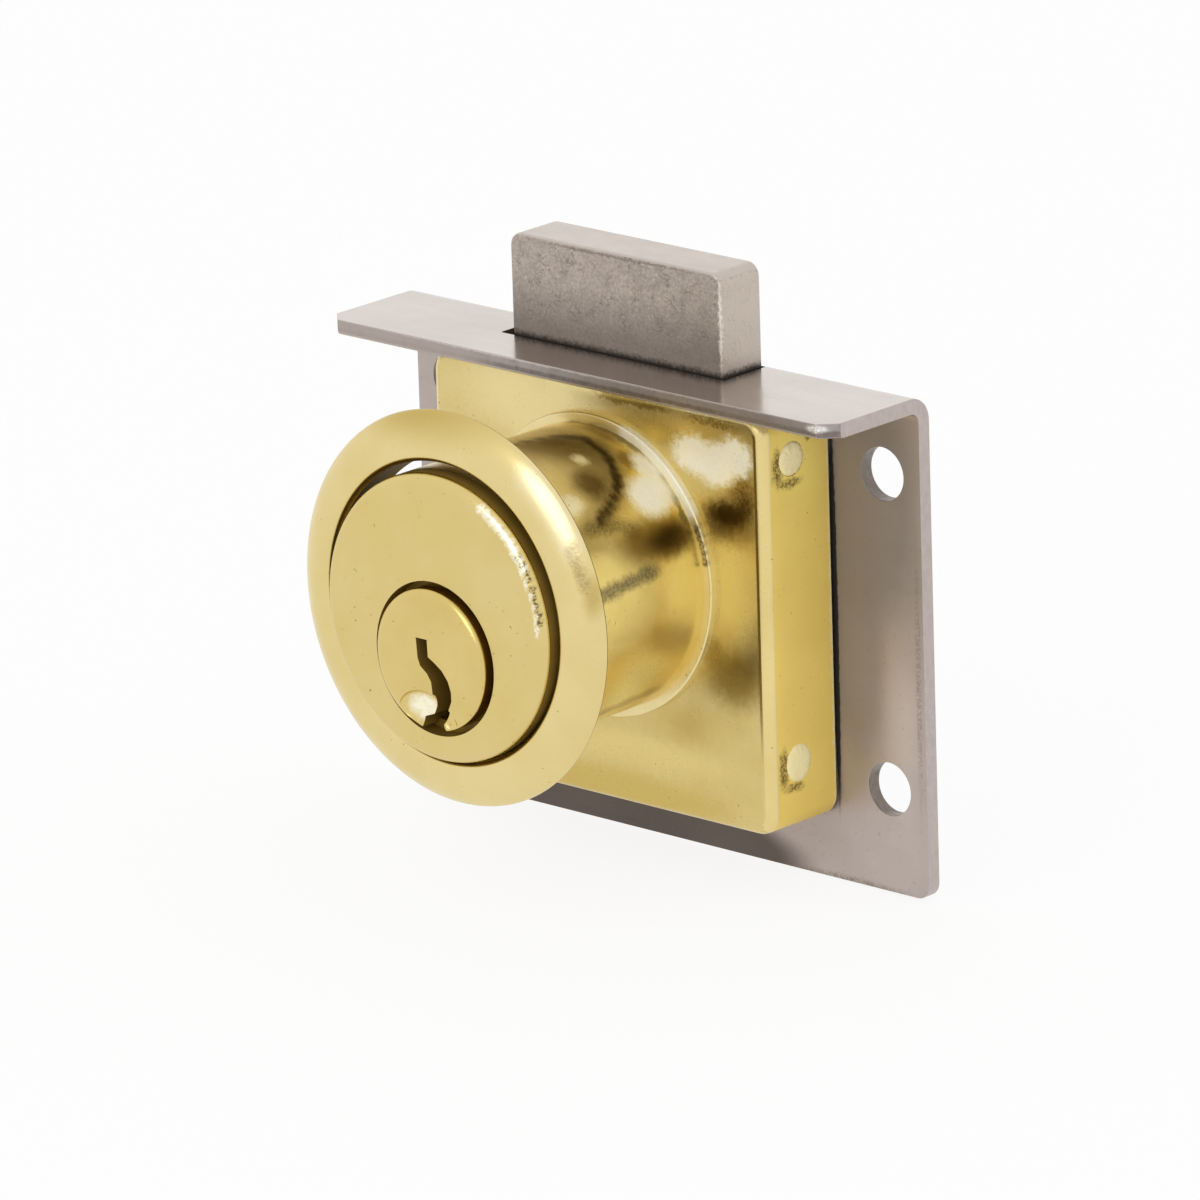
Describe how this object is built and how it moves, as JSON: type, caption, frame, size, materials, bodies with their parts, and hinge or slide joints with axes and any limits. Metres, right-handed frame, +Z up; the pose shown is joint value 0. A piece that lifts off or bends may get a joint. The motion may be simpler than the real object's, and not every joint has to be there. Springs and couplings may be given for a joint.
{
  "type": "cabinet lock",
  "caption": "Cabinet or drawer lock: a flanged back plate carries a square case, a round pin cylinder with a bezel ring, and a dead bolt that rises through the flange.",
  "frame": {"origin": "centre of the four screw holes, on the back face of the plate", "axes": "+X across the lock to the right as seen from the keyed face, +Y from the keyed face to the back of the plate, +Z up along the bolt's throw"},
  "size_m": [0.0432, 0.0236, 0.0399],
  "materials": {
    "nickel_plate": "satin nickel-plated sheet steel",
    "brass_plating": "bright polished brass plating",
    "plug_brass": "turned brass",
    "zinc_body": "die-cast zinc",
    "bolt_steel": "blasted, nickel-plated steel",
    "pin_steel": "turned steel",
    "spring_steel": "drawn spring wire"
  },
  "bodies": {
    "housing": {"back_plate": "nickel_plate", "case_shell": "brass_plating", "case_rivets": "brass_plating", "lock_body": "zinc_body", "cylinder_barrel": "brass_plating", "chamber_cover": "brass_plating", "pin_spring_1": "spring_steel", "pin_spring_2": "spring_steel", "pin_spring_3": "spring_steel", "pin_spring_4": "spring_steel", "pin_spring_5": "spring_steel"},
    "plug_and_cam": {"plug": "plug_brass", "drive_cam": "pin_steel", "drive_stud": "pin_steel"},
    "dead_bolt": {"bolt": "bolt_steel"},
    "bezel": {"bezel_ring": "brass_plating"},
    "drivers": {"driver_pin_1": "pin_steel", "driver_pin_2": "pin_steel", "driver_pin_3": "pin_steel", "driver_pin_4": "pin_steel", "driver_pin_5": "pin_steel"},
    "key_pins": {"key_pin_1": "plug_brass", "key_pin_2": "plug_brass", "key_pin_3": "plug_brass", "key_pin_4": "plug_brass", "key_pin_5": "plug_brass"}
  },
  "joints": [
    {"name": "plug_turn", "type": "hinge", "parent": "housing", "child": "plug_and_cam", "pos_m": [0, -0.0142, 0.00025], "axis": [0, 1, 0], "range_deg": [0, 180]},
    {"name": "bolt_slide", "type": "slide", "parent": "housing", "child": "dead_bolt", "axis": [0, 0, 1], "range_m": [-0.0068, 0]},
    {"name": "bezel_slide", "type": "slide", "parent": "housing", "child": "bezel", "axis": [0, 1, 0], "range_m": [0, 0.0109]},
    {"name": "driver_pins_lift", "type": "slide", "parent": "housing", "child": "drivers", "axis": [0, 0, 1], "range_m": [0, 0.001], "stiffness_N_per_m": 100, "springref_m": -0.002, "deforming": ["pin_spring_1", "pin_spring_2", "pin_spring_3", "pin_spring_4", "pin_spring_5"]},
    {"name": "key_pins_drop", "type": "slide", "parent": "plug_and_cam", "child": "key_pins", "axis": [0, 0, 1], "range_m": [-0.001, 0]}
  ],
  "couplings": [
    {"joint": "plug_turn", "follows": "bolt_slide", "rad_per_m": -461.98}
  ]
}
